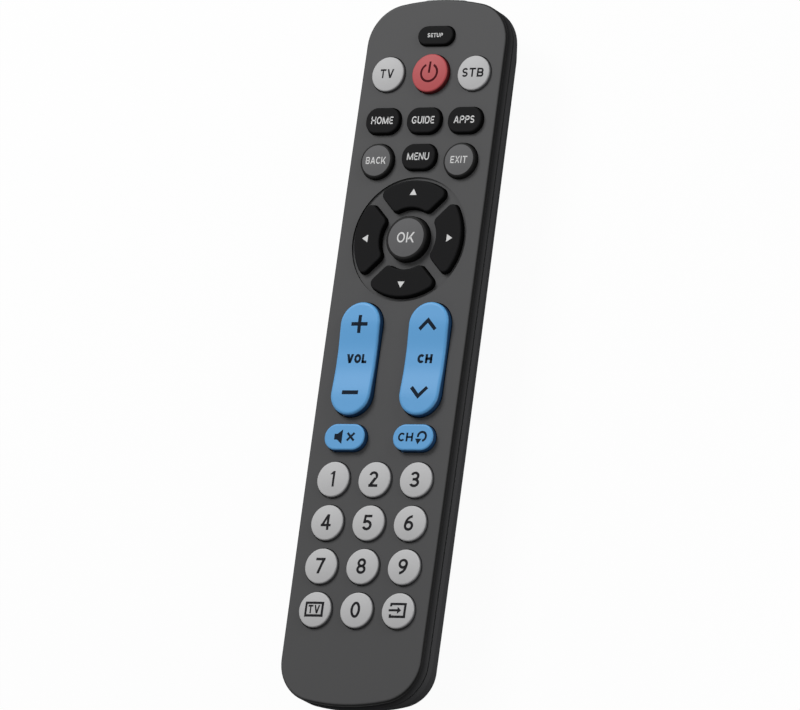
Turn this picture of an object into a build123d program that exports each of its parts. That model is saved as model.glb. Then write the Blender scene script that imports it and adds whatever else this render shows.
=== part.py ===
from build123d import *
import os
from collections import namedtuple
from math import cos, pi, radians, sin, sqrt, tan

os.makedirs("parts", exist_ok=True)

# A hand-held remote control lying on its back. +Z points out of the key face, +Y towards
# the end that sends the infrared signal. The origin is on the back, under the middle.
# All lengths are in millimetres.

# Key sizes on the face, the widths across the body and the lengths along it
round_key_size = 9.6
power_key_size = 10.6
side_key_size = 9.6
ok_key_size = 12.2
setup_key_width = 10.7
setup_key_length = 5.2
shortcut_key_width = 10.1
shortcut_key_length = 7.1
shortcut_key_corner = 3.3
rocker_width = 11.9
rocker_length = 31.0
blue_key_width = 12.1
blue_key_length = 7.1

# How far the keys of each kind stand out of the face
round_key_rise = 1.3
power_key_rise = 1.7
side_key_rise = 1.6
ok_key_rise = 2.0
setup_key_rise = 1.1
shortcut_key_rise = 1.3
rocker_rise = 1.8
blue_key_rise = 1.7
arc_key_rise = 1.1

# How far the tops of the round keys are domed
round_key_crown = 0.45
power_key_crown = 0.35
side_key_crown = 0.25
ok_key_crown = 0.3

# Face layout, from the signal end down to the battery end
top_margin = 7.75
setup_row_gap = 2.7
source_row_gap = 4.2
shortcut_row_gap = 3.0
side_key_drop = 1.1
dish_gap = 1.86
rocker_row_gap = 0.53
blue_row_gap = 2.45
number_row_gap = 3.03
number_gap_y = 2.235
bottom_margin = 20.91

# Face layout, across
source_gap = 2.93
number_gap_x = 2.9
shortcut_gap = 2.35
side_key_gap = 2.75
rocker_spacing = 8.8
side_margin = 3.67

# Round dish with its four arc keys
dish_radius = 17.2
dish_depth = 0.5
dish_rim = 1.1
arc_key_depth = 7.6
arc_key_corner = 1.7
spoke_width = 3.0

# Outline of the body
side_bow = 0.3
end_rise = 3.9
corner_radius = 11.5
face_edge_radius = 0.8

# Layers from the back to the face
door_thickness = 1.4
cell_clearance = 0.3
cell_diameter = 10.5
cell_length = 44.5
ceiling_clearance = 0.2
ceiling_thickness = 0.7
board_clearance = 0.3
board_thickness = 1.0
mat_thickness = 0.6
press_clearance = 0.1
key_travel = 1.0
flange_thickness = 0.6
flange_clearance = 0.1
deck_thickness = 1.3
plate_thickness = 0.9

# Case halves and the joint between them
case_wall = 1.6
parting_depth = 4.2
belt_height = 2.0
groove_height = 0.5
groove_depth = 0.6
lip_thickness = 0.8
lip_height = 1.2
lip_clearance = 0.1
lip_root = 1.4
back_edge_radius = 6.0
back_corner_radius = 9.0
side_draft_top = 28
side_draft_bottom = 22.5
end_draft = 15

# Keys below the face
key_clearance = 0.3
rocker_clearance = 0.4
flange_lip = 0.4
key_draft = 1.5
key_edge_round = 0.45
stem_radius = 2.0
small_stem_radius = 1.7
stem_clearance = 0.4
pad_thickness = 0.05
pad_clearance = 0.05

# Rocker keys: each tilts on a round keel that runs across under its middle
rocker_angle = 3.5
rocker_stem_reach = 11.0
rocker_edge_round = 0.8
keel_radius = 0.6
keel_length = 8.0
keel_clearance = 0.05
rocker_lip = 0.6
rocker_lip_length = 6.0

Place = namedtuple("Place", "x y")
KeyStyle = namedtuple("KeyStyle", "width length corner rise crown stem")

# Heights of the layers, counted up from the back
cell_axis_height = door_thickness + cell_clearance + cell_diameter / 2
ceiling_height = cell_axis_height + cell_diameter / 2 + ceiling_clearance
ceiling_top = ceiling_height + ceiling_thickness
board_height = ceiling_top + board_clearance
board_top = board_height + board_thickness
mat_top = board_top + mat_thickness
flange_height = mat_top + press_clearance + key_travel
flange_top = flange_height + flange_thickness
deck_height = flange_top + flange_clearance
deck_top = deck_height + deck_thickness
face_height = deck_top + plate_thickness
stem_height = board_top + pad_thickness + pad_clearance + key_travel
parting_height = face_height - parting_depth
groove_top = parting_height + groove_height
belt_bottom = parting_height - belt_height

# Overall size of the body: the keys, the gaps between them and the margins add up to it
source_key_x = power_key_size / 2 + source_gap + round_key_size / 2
body_width = 2 * (source_key_x + round_key_size / 2 + side_margin)
key_rows = [
    setup_key_length + setup_row_gap,
    power_key_size + source_row_gap,
    shortcut_key_length + shortcut_row_gap,
    shortcut_key_length + dish_gap,
    2 * dish_radius + rocker_row_gap,
    rocker_length + blue_row_gap,
    blue_key_length + number_row_gap,
    4 * round_key_size + 3 * number_gap_y,
]
body_length = top_margin + sum(key_rows) + bottom_margin

# Places of the key rows along the body. The window bulges out of the signal end, so the
# body's own middle lies half that bulge behind the origin.
window_bulge = 1.2
body_mid_y = -window_bulge / 2
signal_end_y = body_mid_y + body_length / 2
battery_end_y = body_mid_y - body_length / 2
setup_y = signal_end_y - top_margin - setup_key_length / 2
source_y = setup_y - setup_key_length / 2 - setup_row_gap - power_key_size / 2
shortcut_y = source_y - power_key_size / 2 - source_row_gap - shortcut_key_length / 2
menu_y = shortcut_y - shortcut_key_length - shortcut_row_gap
side_key_y = menu_y - side_key_drop
dish_y = menu_y - shortcut_key_length / 2 - dish_gap - dish_radius
rocker_y = dish_y - dish_radius - rocker_row_gap - rocker_length / 2
blue_y = rocker_y - rocker_length / 2 - blue_row_gap - blue_key_length / 2
number_y = blue_y - blue_key_length / 2 - number_row_gap - round_key_size / 2

# Places of the key columns across the body
number_pitch_x = round_key_size + number_gap_x
number_pitch_y = round_key_size + number_gap_y
shortcut_pitch = shortcut_key_width + shortcut_gap
side_key_x = shortcut_key_width / 2 + side_key_gap + side_key_size / 2
rocker_x = rocker_spacing / 2 + rocker_width / 2


def round_style(size, rise, crown):
    """A round key: its size, how far it stands out and how far its top is domed."""
    return KeyStyle(size, size, 0, rise, crown, stem_radius)


number_style = round_style(round_key_size, round_key_rise, round_key_crown)
power_style = round_style(power_key_size, power_key_rise, power_key_crown)
side_style = round_style(side_key_size, side_key_rise, side_key_crown)
ok_style = round_style(ok_key_size, ok_key_rise, ok_key_crown)
setup_style = KeyStyle(
    setup_key_width, setup_key_length, 0, setup_key_rise, 0, small_stem_radius
)
shortcut_style = KeyStyle(
    shortcut_key_width, shortcut_key_length, shortcut_key_corner, shortcut_key_rise, 0, stem_radius
)
blue_style = KeyStyle(blue_key_width, blue_key_length, 0, blue_key_rise, 0, stem_radius)
rocker_style = KeyStyle(rocker_width, rocker_length, 0, rocker_rise, 0, stem_radius)

round_keys = {
    "key_tv": (Place(-source_key_x, source_y), number_style),
    "key_power": (Place(0, source_y), power_style),
    "key_stb": (Place(source_key_x, source_y), number_style),
    "key_back": (Place(-side_key_x, side_key_y), side_style),
    "key_exit": (Place(side_key_x, side_key_y), side_style),
    "key_ok": (Place(0, dish_y), ok_style),
}
number_names = [
    ["key_1", "key_2", "key_3"],
    ["key_4", "key_5", "key_6"],
    ["key_7", "key_8", "key_9"],
    ["key_tv_input", "key_0", "key_input"],
]
for row, names in enumerate(number_names):
    for column, name in enumerate(names):
        place = Place((column - 1) * number_pitch_x, number_y - row * number_pitch_y)
        round_keys[name] = (place, number_style)

long_keys = {
    "key_setup": (Place(0, setup_y), setup_style),
    "key_home": (Place(-shortcut_pitch, shortcut_y), shortcut_style),
    "key_guide": (Place(0, shortcut_y), shortcut_style),
    "key_apps": (Place(shortcut_pitch, shortcut_y), shortcut_style),
    "key_menu": (Place(0, menu_y), shortcut_style),
    "key_mute": (Place(-rocker_x, blue_y), blue_style),
    "key_channel_recall": (Place(rocker_x, blue_y), blue_style),
}
rocker_keys = {
    "key_volume": (Place(-rocker_x, rocker_y), rocker_style),
    "key_channel": (Place(rocker_x, rocker_y), rocker_style),
}
arc_keys = {"key_up": 0, "key_left": 90, "key_down": 180, "key_right": 270}

arc_outer_radius = dish_radius - dish_rim
arc_inner_radius = arc_outer_radius - arc_key_depth
arc_middle_radius = (arc_outer_radius + arc_inner_radius) / 2
arc_places = [
    Place(-arc_middle_radius * sin(radians(turn)), dish_y + arc_middle_radius * cos(radians(turn)))
    for turn in arc_keys.values()
]


# Radius of the arched ends, from their rise over the body's width
end_radius = ((body_width / 2 - side_bow) ** 2 + end_rise**2) / (2 * end_rise)


def half_width_at(y):
    """Half the body's width at a place along it; the long sides are shallow arcs."""
    corner_y = body_length / 2 - end_rise
    return body_width / 2 - side_bow * ((y - body_mid_y) / corner_y) ** 2


def box_between(low, high):
    """A block between its lowest and its highest corner."""
    size = [top - bottom for bottom, top in zip(low, high)]
    with BuildPart() as block:
        with Locations(low):
            Box(*size, align=(Align.MIN, Align.MIN, Align.MIN))
    return block.part


def body_outline(height, inset):
    """The body's outline at a height: two bowed sides and two arched ends, drawn in by inset."""
    corner_x = body_width / 2 - side_bow - inset
    end_y = body_length / 2 - inset
    corner_y = end_y - end_radius + inset + sqrt((end_radius - inset) ** 2 - corner_x**2)
    side_x = body_width / 2 - inset
    with BuildSketch(Plane((0, body_mid_y, height))) as outline:
        with BuildLine():
            ThreePointArc((corner_x, -corner_y), (side_x, 0), (corner_x, corner_y))
            ThreePointArc((corner_x, corner_y), (0, end_y), (-corner_x, corner_y))
            ThreePointArc((-corner_x, corner_y), (-side_x, 0), (-corner_x, -corner_y))
            ThreePointArc((-corner_x, -corner_y), (0, -end_y), (corner_x, -corner_y))
        make_face()
        fillet(outline.vertices(), radius=corner_radius - inset)
    return outline.sketch


def rear_form(inset):
    """The rear half as a solid, drawn in by inset: an upright belt over walls that lean in."""
    depth = belt_bottom - inset
    half_width = body_width / 2 - side_bow - inset
    top_half = half_width - depth * tan(radians(side_draft_top))
    bottom_half = half_width - depth * tan(radians(side_draft_bottom))
    middle_half = (top_half + bottom_half) / 2 + side_bow
    end_y = body_length / 2 - inset - depth * tan(radians(end_draft))
    corner_y = end_y - end_rise
    with BuildPart() as form:
        add(body_outline(belt_bottom, inset))
        with BuildSketch(Plane((0, body_mid_y, inset))) as back:
            with BuildLine():
                ThreePointArc((bottom_half, -corner_y), (middle_half, 0), (top_half, corner_y))
                ThreePointArc((top_half, corner_y), (0, end_y), (-top_half, corner_y))
                ThreePointArc((-top_half, corner_y), (-middle_half, 0), (-bottom_half, -corner_y))
                ThreePointArc((-bottom_half, -corner_y), (0, -end_y), (bottom_half, -corner_y))
            make_face()
            fillet(back.vertices(), radius=back_corner_radius - inset)
        loft(ruled=True)
        back_face = form.faces().sort_by(Axis.Z)[0]
        fillet(back_face.edges(), radius=back_edge_radius - inset)
        extrude(body_outline(belt_bottom, inset), amount=belt_height)
    return form.part


def key_outline(place, style, height, grow):
    """The outline of a round or long key at a height, grown by a clearance or a lip."""
    width = style.width + 2 * grow
    length = style.length + 2 * grow
    with BuildSketch(Plane((place.x, place.y, height))) as outline:
        if style.width == style.length:
            Circle(width / 2)
        elif style.corner > 0:
            RectangleRounded(width, length, style.corner + grow)
        elif style.width > style.length:
            SlotOverall(width, length)
        else:
            SlotOverall(length, width, rotation=90)
    return outline.sketch


def arc_outline(turn, height, grow):
    """The outline of one arc key round the dish: a ring cut by two diagonal spokes."""
    reach = 2 * arc_outer_radius
    apex = (spoke_width - 2 * grow) / sqrt(2)
    plane = Plane((0, dish_y, height)).rotated((0, 0, turn))
    with BuildSketch(plane) as outline:
        Circle(arc_outer_radius + grow)
        Circle(arc_inner_radius - grow, mode=Mode.SUBTRACT)
        with BuildLine():
            Polyline((0, apex), (reach, apex + reach), (-reach, apex + reach), close=True)
        make_face(mode=Mode.INTERSECT)
        fillet(outline.vertices(), radius=arc_key_corner + grow)
    return outline.sketch


# Every hole that a key comes up through, as one solid that cuts the deck and the face plate
with BuildPart() as key_holes:
    hole_height = face_height - deck_height
    for place, style in [*round_keys.values(), *long_keys.values()]:
        extrude(key_outline(place, style, deck_height, key_clearance), amount=hole_height)
    for place, style in rocker_keys.values():
        extrude(key_outline(place, style, deck_height, rocker_clearance), amount=hole_height)
    for turn in arc_keys.values():
        extrude(arc_outline(turn, deck_height, key_clearance), amount=hole_height)


# Face plate: the thin grey skin with a rounded rim and the round dish
with BuildPart() as face_plate:
    extrude(body_outline(deck_top, 0), amount=plate_thickness)
    fillet(face_plate.faces().sort_by(Axis.Z)[-1].edges(), radius=face_edge_radius)
    with BuildSketch(Plane((0, dish_y, face_height))):
        Circle(dish_radius)
    extrude(amount=-dish_depth, mode=Mode.SUBTRACT)
    add(key_holes.part, mode=Mode.SUBTRACT)
face_plate.part.label = "face_plate"
export_step(face_plate.part, "parts/face_plate.step")


# Round keys: turned profiles with a domed top, a flange under the deck and a contact stem
lamp_ring_radius = 1.6
lamp_stem_radius = 3.0
for name, (place, style) in round_keys.items():
    rim_height = face_height + style.rise - style.crown
    rim_radius = style.width / 2
    base_radius = rim_radius + (rim_height - flange_top) * tan(radians(key_draft))
    crown_radius = (rim_radius**2 + style.crown**2) / (2 * style.crown)
    mid_radius = rim_radius / 2
    mid_drop = crown_radius - sqrt(crown_radius**2 - mid_radius**2)
    stem = lamp_stem_radius if name == "key_power" else style.stem
    with BuildPart() as key:
        with BuildSketch(Plane((place.x, place.y, 0), x_dir=(1, 0, 0), z_dir=(0, -1, 0))) as profile:
            with BuildLine():
                Polyline(
                    (0, face_height + style.rise),
                    (0, stem_height),
                    (stem, stem_height),
                    (stem, flange_height),
                    (base_radius + flange_lip, flange_height),
                    (base_radius + flange_lip, flange_top),
                    (base_radius, flange_top),
                    (rim_radius, rim_height),
                )
                ThreePointArc(
                    (rim_radius, rim_height),
                    (mid_radius, face_height + style.rise - mid_drop),
                    (0, face_height + style.rise),
                )
            make_face()
            rim_corner = profile.vertices().sort_by_distance((rim_radius, rim_height))[0]
            fillet(rim_corner, radius=key_edge_round)
        revolve(axis=Axis((place.x, place.y, 0), (0, 0, 1)))
        if name == "key_power":
            with BuildSketch(Plane((place.x, place.y, stem_height))):
                Circle(lamp_ring_radius)
            extrude(amount=flange_height - stem_height, mode=Mode.SUBTRACT)
    key.part.label = name
    export_step(key.part, f"parts/{name}.step")


def key_body(low_outline, high_outline, edge_round):
    """A drafted key body between two outlines, with its top edge rounded."""
    with BuildPart() as body:
        loft([*low_outline.faces(), *high_outline.faces()], ruled=True)
        fillet(body.faces().sort_by(Axis.Z)[-1].edges(), radius=edge_round)
    return body.part


# Long keys: a drafted block with a rounded top edge, a flange and a contact stem
for name, (place, style) in long_keys.items():
    top = face_height + style.rise
    spread = (top - flange_height) * tan(radians(key_draft))
    with BuildPart() as key:
        low_outline = key_outline(place, style, flange_height, spread)
        add(key_body(low_outline, key_outline(place, style, top, 0), key_edge_round))
        flange_outline = key_outline(place, style, flange_height, spread + flange_lip)
        extrude(flange_outline, amount=flange_thickness)
        with BuildSketch(Plane((place.x, place.y, stem_height))):
            Circle(style.stem)
        extrude(amount=flange_height - stem_height)
    key.part.label = name
    export_step(key.part, f"parts/{name}.step")


# Arc keys round the dish, built like the long keys
for (name, turn), place in zip(arc_keys.items(), arc_places):
    top = face_height + arc_key_rise
    spread = (top - flange_height) * tan(radians(key_draft))
    with BuildPart() as key:
        low_outline = arc_outline(turn, flange_height, spread)
        add(key_body(low_outline, arc_outline(turn, top, 0), key_edge_round))
        extrude(arc_outline(turn, flange_height, spread + flange_lip), amount=flange_thickness)
        with BuildSketch(Plane((place.x, place.y, stem_height))):
            Circle(stem_radius)
        extrude(amount=flange_height - stem_height)
    key.part.label = name
    export_step(key.part, f"parts/{name}.step")


# Rocker keys: two contact stems, a keel across the middle and short retaining lips beside it
pivot_height = mat_top + keel_clearance + keel_radius
rocker_drop = rocker_length / 2 * tan(radians(rocker_angle))
rocker_bottom = mat_top + press_clearance + rocker_drop
rocker_stem_drop = (rocker_stem_reach + stem_radius) * tan(radians(rocker_angle))
rocker_stem_height = board_top + pad_thickness + pad_clearance + rocker_stem_drop
rocker_lip_rise = rocker_lip_length / 2 * sin(radians(rocker_angle))
rocker_lip_top = deck_height - flange_clearance - rocker_lip_rise
for name, (place, style) in rocker_keys.items():
    top = face_height + style.rise
    spread = (top - rocker_bottom) * tan(radians(key_draft))
    lip_reach = style.width / 2 + spread + rocker_lip
    with BuildPart() as key:
        low_outline = key_outline(place, style, rocker_bottom, spread)
        add(key_body(low_outline, key_outline(place, style, top, 0), rocker_edge_round))
        add(
            box_between(
                (place.x - lip_reach, place.y - rocker_lip_length / 2, rocker_bottom),
                (place.x + lip_reach, place.y + rocker_lip_length / 2, rocker_lip_top),
            )
        )
        add(
            box_between(
                (place.x - keel_length / 2, place.y - keel_radius, pivot_height),
                (place.x + keel_length / 2, place.y + keel_radius, rocker_bottom),
            )
        )
        with BuildSketch(Plane((place.x, place.y, pivot_height), x_dir=(0, 1, 0), z_dir=(1, 0, 0))):
            Circle(keel_radius)
        extrude(amount=keel_length / 2, both=True)
        with BuildSketch(Plane((place.x, place.y, rocker_stem_height))):
            with Locations((0, -rocker_stem_reach), (0, rocker_stem_reach)):
                Circle(style.stem)
        extrude(amount=rocker_bottom - rocker_stem_height)
    key.part.label = name
    export_step(key.part, f"parts/{name}.step")


# Board screws and the bosses of the top case that they hold on to
screw_radius = 0.8
screw_hole_radius = 0.85
screw_pass_radius = 1.0
screw_head_radius = 1.6
screw_head_thickness = 0.9
screw_grip = 2.4
socket_width = 0.5
socket_length = 2.0
socket_depth = 0.5
boss_radius = 1.9
boss_clearance = 0.2
screw_top_x = 8.5
screw_top_inset = 12.5
screw_middle_x = 16.2
screw_middle_drop = 1.5
screw_bottom_x = 8.0
screw_bottom_inset = 8.5
screw_rows = [
    (screw_top_x, signal_end_y - screw_top_inset),
    (screw_middle_x, dish_y - dish_radius + screw_middle_drop),
    (screw_bottom_x, battery_end_y + screw_bottom_inset),
]
screw_places = [Place(side * x, y) for x, y in screw_rows for side in (-1, 1)]

# Snap hooks on the lip of the rear case and the pockets they click into
hook_length = 6.0
hook_height = 0.5
hook_reach = 0.35
hook_clearance = 0.12
hook_rise = 0.5
hook_shares = (-0.37, -0.13, 0.13, 0.37)
hook_places = [
    Place(side, body_mid_y + share * body_length) for side in (-1, 1) for share in hook_shares
]


def hook_block(hook, grow):
    """One snap hook on the outside of the lip, or its pocket when grown."""
    surface = half_width_at(hook.y) - case_wall - lip_clearance
    depth = hook_reach + lip_thickness / 2 + grow
    middle_x = hook.x * (surface + hook_reach + grow - depth / 2)
    middle_z = parting_height + hook_rise + hook_height / 2
    with BuildPart() as block:
        with Locations((middle_x, hook.y, middle_z)):
            Box(depth, hook_length + 2 * grow, hook_height + 2 * grow)
    return block.part


# Window: outer face bowed out of the end wall, its lower part leaning in with that wall
window_width = 13.0
window_top_inset = 1.4
window_height = 10.6
window_clearance = 0.1
window_edge_round = 0.5
window_depth = window_bulge + case_wall + lip_clearance + lip_thickness
window_top = face_height - window_top_inset
window_bottom = window_top - window_height
window_lean = (belt_bottom - window_bottom) * tan(radians(end_draft))
window_bow_radius = ((window_width / 2) ** 2 + window_bulge**2) / (2 * window_bulge)


def window_block(grow):
    """A bar along X with the window's section, grown all round by a clearance."""
    front = signal_end_y + window_bulge + grow
    rear = front - window_depth - 2 * grow
    with BuildPart() as block:
        with BuildSketch(Plane.YZ):
            with BuildLine():
                Polyline(
                    (front, window_top + grow),
                    (front, belt_bottom),
                    (front - window_lean, window_bottom - grow),
                    (rear - window_lean, window_bottom - grow),
                    (rear, belt_bottom),
                    (rear, window_top + grow),
                    close=True,
                )
            make_face()
        extrude(amount=window_width / 2 + grow, both=True)
    return block.part


with BuildPart() as ir_window:
    add(window_block(0))
    with BuildSketch(Plane((0, signal_end_y + window_bulge - window_bow_radius, 0))):
        Circle(window_bow_radius)
    extrude(amount=face_height, mode=Mode.INTERSECT)
    top_edges = ir_window.faces().sort_by(Axis.Z)[-1].edges()
    fillet(top_edges.sort_by(Axis.Y)[-1], radius=window_edge_round)
ir_window.part.label = "ir_window"
export_step(ir_window.part, "parts/ir_window.step")


# Top case: the dark frame under the face plate, with a deck, screw bosses and hook pockets
with BuildPart() as top_case:
    extrude(body_outline(groove_top, 0), amount=deck_top - groove_top)
    extrude(body_outline(parting_height, groove_depth), amount=groove_height)
    extrude(
        body_outline(parting_height, case_wall),
        amount=deck_height - parting_height,
        mode=Mode.SUBTRACT,
    )
    add(key_holes.part, mode=Mode.SUBTRACT)
    with BuildSketch(Plane.XY.offset(board_top)):
        with Locations(*screw_places):
            Circle(boss_radius)
    extrude(amount=deck_height - board_top)
    with BuildSketch(Plane.XY.offset(board_top)):
        with Locations(*screw_places):
            Circle(screw_hole_radius)
    extrude(amount=screw_grip, mode=Mode.SUBTRACT)
    for hook in hook_places:
        add(hook_block(hook, hook_clearance), mode=Mode.SUBTRACT)
    add(window_block(window_clearance), mode=Mode.SUBTRACT)
top_case.part.label = "top_case"
export_step(top_case.part, "parts/top_case.step")


# Battery bay: two cells side by side, the left one pointing to the signal end
cell_gap = 0.6
cell_side_clearance = 0.4
bay_inset = 13.0
bay_wall = 1.2
contact_thickness = 0.4
dimple_radius = 1.5
dimple_height = 0.4
contact_clearance = 0.05
spring_length = 5.0
cell_x = (cell_diameter + cell_gap) / 2
bay_half_width = cell_x + cell_diameter / 2 + cell_side_clearance
plus_stack = contact_thickness + dimple_height + contact_clearance
minus_stack = contact_thickness + contact_clearance + spring_length + contact_clearance
bay_start_y = battery_end_y + bay_inset
bay_end_y = bay_start_y + plus_stack + cell_length + minus_stack

# Door opening: the door's side flanges run in grooves between the shell and a pad above them
door_half_width = 12.4
door_flange = 1.2
door_flange_thickness = 0.8
door_flange_step = 0.3
door_clearance = 0.2
door_end_height = 9.0
door_overlap = 2.8
pad_width = 2.6
pad_height = 1.2
pad_root = 0.8
pad_end = 1.2
door_top_y = bay_end_y + bay_wall + door_overlap
door_flange_bottom = door_thickness - door_flange_step
door_flange_top = door_flange_bottom + door_flange_thickness
slot_half_width = door_half_width + door_clearance
groove_half_width = door_half_width + door_flange + door_clearance
groove_bottom = door_flange_bottom - door_clearance
slot_top = door_flange_top + door_clearance
pad_half_width = door_half_width + pad_width
pad_top = slot_top + pad_height
end_cut_y = bay_start_y - bay_wall - pad_end
slot_end_y = door_top_y + door_clearance

# Contact tabs rise through slots in the bay's ceiling; ribs stiffen the shell beyond the bay
tab_width = 3.0
tab_clearance = 0.15
rib_thickness = 1.0
rib_height = 6.0
rib_shares = (-0.05, 0.12, 0.29)


def across(half_width, y_low, y_high, z_low, z_high):
    """A block centred on the middle of the body."""
    return box_between((-half_width, y_low, z_low), (half_width, y_high, z_high))


# Pad, bay walls and ribs, trimmed to stay inside the shell
with BuildPart() as fittings:
    add(across(pad_half_width, battery_end_y, door_top_y + pad_end, pad_root, pad_top))
    add(
        across(
            bay_half_width + bay_wall,
            bay_start_y - bay_wall,
            bay_end_y + bay_wall,
            slot_top,
            ceiling_top,
        )
    )
    for share in rib_shares:
        rib_y = body_mid_y + share * body_length
        add(across(body_width / 2, rib_y, rib_y + rib_thickness, pad_root, rib_height))
    add(rear_form(pad_root), mode=Mode.INTERSECT)

# Rear case: a drafted shell with a lip round its rim, snap hooks, the battery bay and ribs
lip_inset = case_wall + lip_clearance
with BuildPart() as rear_case:
    add(rear_form(0))
    add(rear_form(case_wall), mode=Mode.SUBTRACT)
    add(fittings.part)
    extrude(body_outline(parting_height - lip_root, case_wall / 2), amount=lip_root)
    extrude(body_outline(parting_height, lip_inset), amount=lip_height)
    extrude(
        body_outline(parting_height - lip_root, lip_inset + lip_thickness),
        amount=lip_root + lip_height,
        mode=Mode.SUBTRACT,
    )
    for hook in hook_places:
        add(hook_block(hook, 0))
    add(across(bay_half_width, bay_start_y, bay_end_y, 0, ceiling_height), mode=Mode.SUBTRACT)
    add(across(slot_half_width, battery_end_y, slot_end_y, 0, slot_top), mode=Mode.SUBTRACT)
    add(
        across(groove_half_width, battery_end_y, slot_end_y, groove_bottom, slot_top),
        mode=Mode.SUBTRACT,
    )
    add(
        across(slot_half_width, battery_end_y, end_cut_y, 0, door_end_height + door_clearance),
        mode=Mode.SUBTRACT,
    )
    for x in (-cell_x, cell_x):
        half_slot = tab_width / 2 + tab_clearance
        add(
            box_between(
                (x - half_slot, bay_end_y - contact_thickness - tab_clearance, ceiling_height),
                (x + half_slot, bay_end_y, ceiling_top),
            ),
            mode=Mode.SUBTRACT,
        )
    add(window_block(window_clearance), mode=Mode.SUBTRACT)
rear_case.part.label = "rear_case"
export_step(rear_case.part, "parts/rear_case.step")


# Battery door: a curved plate that wraps round the battery end and slides off along -Y
grip_width = 14.0
grip_groove = 0.8
grip_pitch = 2.0
grip_depth = 0.4
grip_count = 7
grip_offset = 12.0
strip_root = 1.0
strip_end_gap = 1.5
with BuildPart() as battery_door:
    add(rear_form(0))
    add(rear_form(door_thickness), mode=Mode.SUBTRACT)
    add(across(door_half_width, battery_end_y, door_top_y, 0, door_end_height), mode=Mode.INTERSECT)
    for side in (-1, 1):
        inner_x = side * (door_half_width - strip_root)
        outer_x = side * (door_half_width + door_flange)
        add(
            box_between(
                (min(inner_x, outer_x), end_cut_y + strip_end_gap, door_flange_bottom),
                (max(inner_x, outer_x), door_top_y, door_flange_top),
            )
        )
    for step in range(grip_count):
        groove_y = door_top_y - grip_offset - step * grip_pitch
        add(
            across(grip_width / 2, groove_y - grip_groove, groove_y, 0, grip_depth),
            mode=Mode.SUBTRACT,
        )
battery_door.part.label = "battery_door"
export_step(battery_door.part, "parts/battery_door.step")


# Battery cells: a steel can with a raised plus end; both springs push on the minus ends
nub_radius = 1.9
nub_height = 1.0
cell_edge_round = 0.5
plus_end_left_y = bay_end_y - plus_stack
plus_end_right_y = bay_start_y + plus_stack
cells = {
    "battery_left": (Place(-cell_x, plus_end_left_y), -1),
    "battery_right": (Place(cell_x, plus_end_right_y), 1),
}
for name, (place, direction) in cells.items():
    end_plane = Plane(
        (place.x, place.y, cell_axis_height), x_dir=(1, 0, 0), z_dir=(0, direction, 0)
    )
    with BuildPart() as cell:
        with BuildSketch(end_plane):
            Circle(nub_radius)
        extrude(amount=nub_height)
        with BuildSketch(end_plane.offset(nub_height)):
            Circle(cell_diameter / 2)
        extrude(amount=cell_length - nub_height)
        rims = cell.edges().filter_by(GeomType.CIRCLE).sort_by(SortBy.RADIUS)[-2:]
        fillet(rims, radius=cell_edge_round)
    cell.part.label = name
    export_step(cell.part, f"parts/{name}.step")


# Contact plates: pressed steel, with a dimple where a plus end rests
plate_half_width = 3.6
plate_bottom = 2.6
plate_top = 11.2


def contact_plate(x, y_low, y_high):
    """One upright contact plate in the bay."""
    return box_between(
        (x - plate_half_width, y_low, plate_bottom), (x + plate_half_width, y_high, plate_top)
    )


def contact_tab(x):
    """The tab that carries a plate's current up to the circuit board."""
    return box_between(
        (x - tab_width / 2, bay_end_y - contact_thickness, plate_top),
        (x + tab_width / 2, bay_end_y, board_height),
    )


with BuildPart() as positive_contact:
    add(contact_plate(-cell_x, bay_end_y - contact_thickness, bay_end_y))
    add(contact_tab(-cell_x))
    dimple_y = bay_end_y - contact_thickness - dimple_height
    with BuildSketch(Plane((-cell_x, dimple_y, cell_axis_height), z_dir=(0, 1, 0))):
        Circle(dimple_radius)
    extrude(amount=dimple_height)
positive_contact.part.label = "positive_contact"
export_step(positive_contact.part, "parts/positive_contact.step")

with BuildPart() as negative_contact:
    add(contact_plate(cell_x, bay_end_y - contact_thickness, bay_end_y))
    add(contact_tab(cell_x))
negative_contact.part.label = "negative_contact"
export_step(negative_contact.part, "parts/negative_contact.step")

with BuildPart() as bridge_contact:
    for x in (-cell_x, cell_x):
        add(contact_plate(x, bay_start_y, bay_start_y + contact_thickness))
    add(
        box_between(
            (-cell_x, bay_start_y, cell_axis_height - tab_width / 2),
            (cell_x, bay_start_y + contact_thickness, cell_axis_height + tab_width / 2),
        )
    )
    with BuildSketch(
        Plane((cell_x, bay_start_y + contact_thickness, cell_axis_height), z_dir=(0, 1, 0))
    ):
        Circle(dimple_radius)
    extrude(amount=dimple_height)
bridge_contact.part.label = "bridge_contact"
export_step(bridge_contact.part, "parts/bridge_contact.step")


# Battery springs: conical coils, each one unbroken wire swept along quarter turns
wire_radius = 0.3
spring_base_radius = 3.2
spring_tip_radius = 2.0
spring_turns = 4
springs = [
    (Place(-cell_x, bay_start_y + contact_thickness + contact_clearance), 1),
    (Place(cell_x, bay_end_y - contact_thickness - contact_clearance), -1),
]


def coil_point(place, direction, quarter):
    """A point on the coil and the wire's direction there, after so many quarter turns."""
    share = quarter / (4 * spring_turns)
    turn = quarter * pi / 2
    turn_rate = 2 * pi * spring_turns
    radius = spring_base_radius + (spring_tip_radius - spring_base_radius) * share
    radius_rate = spring_tip_radius - spring_base_radius
    rise_rate = spring_length - 2 * wire_radius
    point = Vector(
        place.x + radius * cos(turn),
        place.y + direction * (wire_radius + rise_rate * share),
        cell_axis_height + radius * sin(turn),
    )
    heading = Vector(
        radius_rate * cos(turn) - radius * turn_rate * sin(turn),
        direction * rise_rate,
        radius_rate * sin(turn) + radius * turn_rate * cos(turn),
    )
    return point, heading.normalized()


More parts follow.
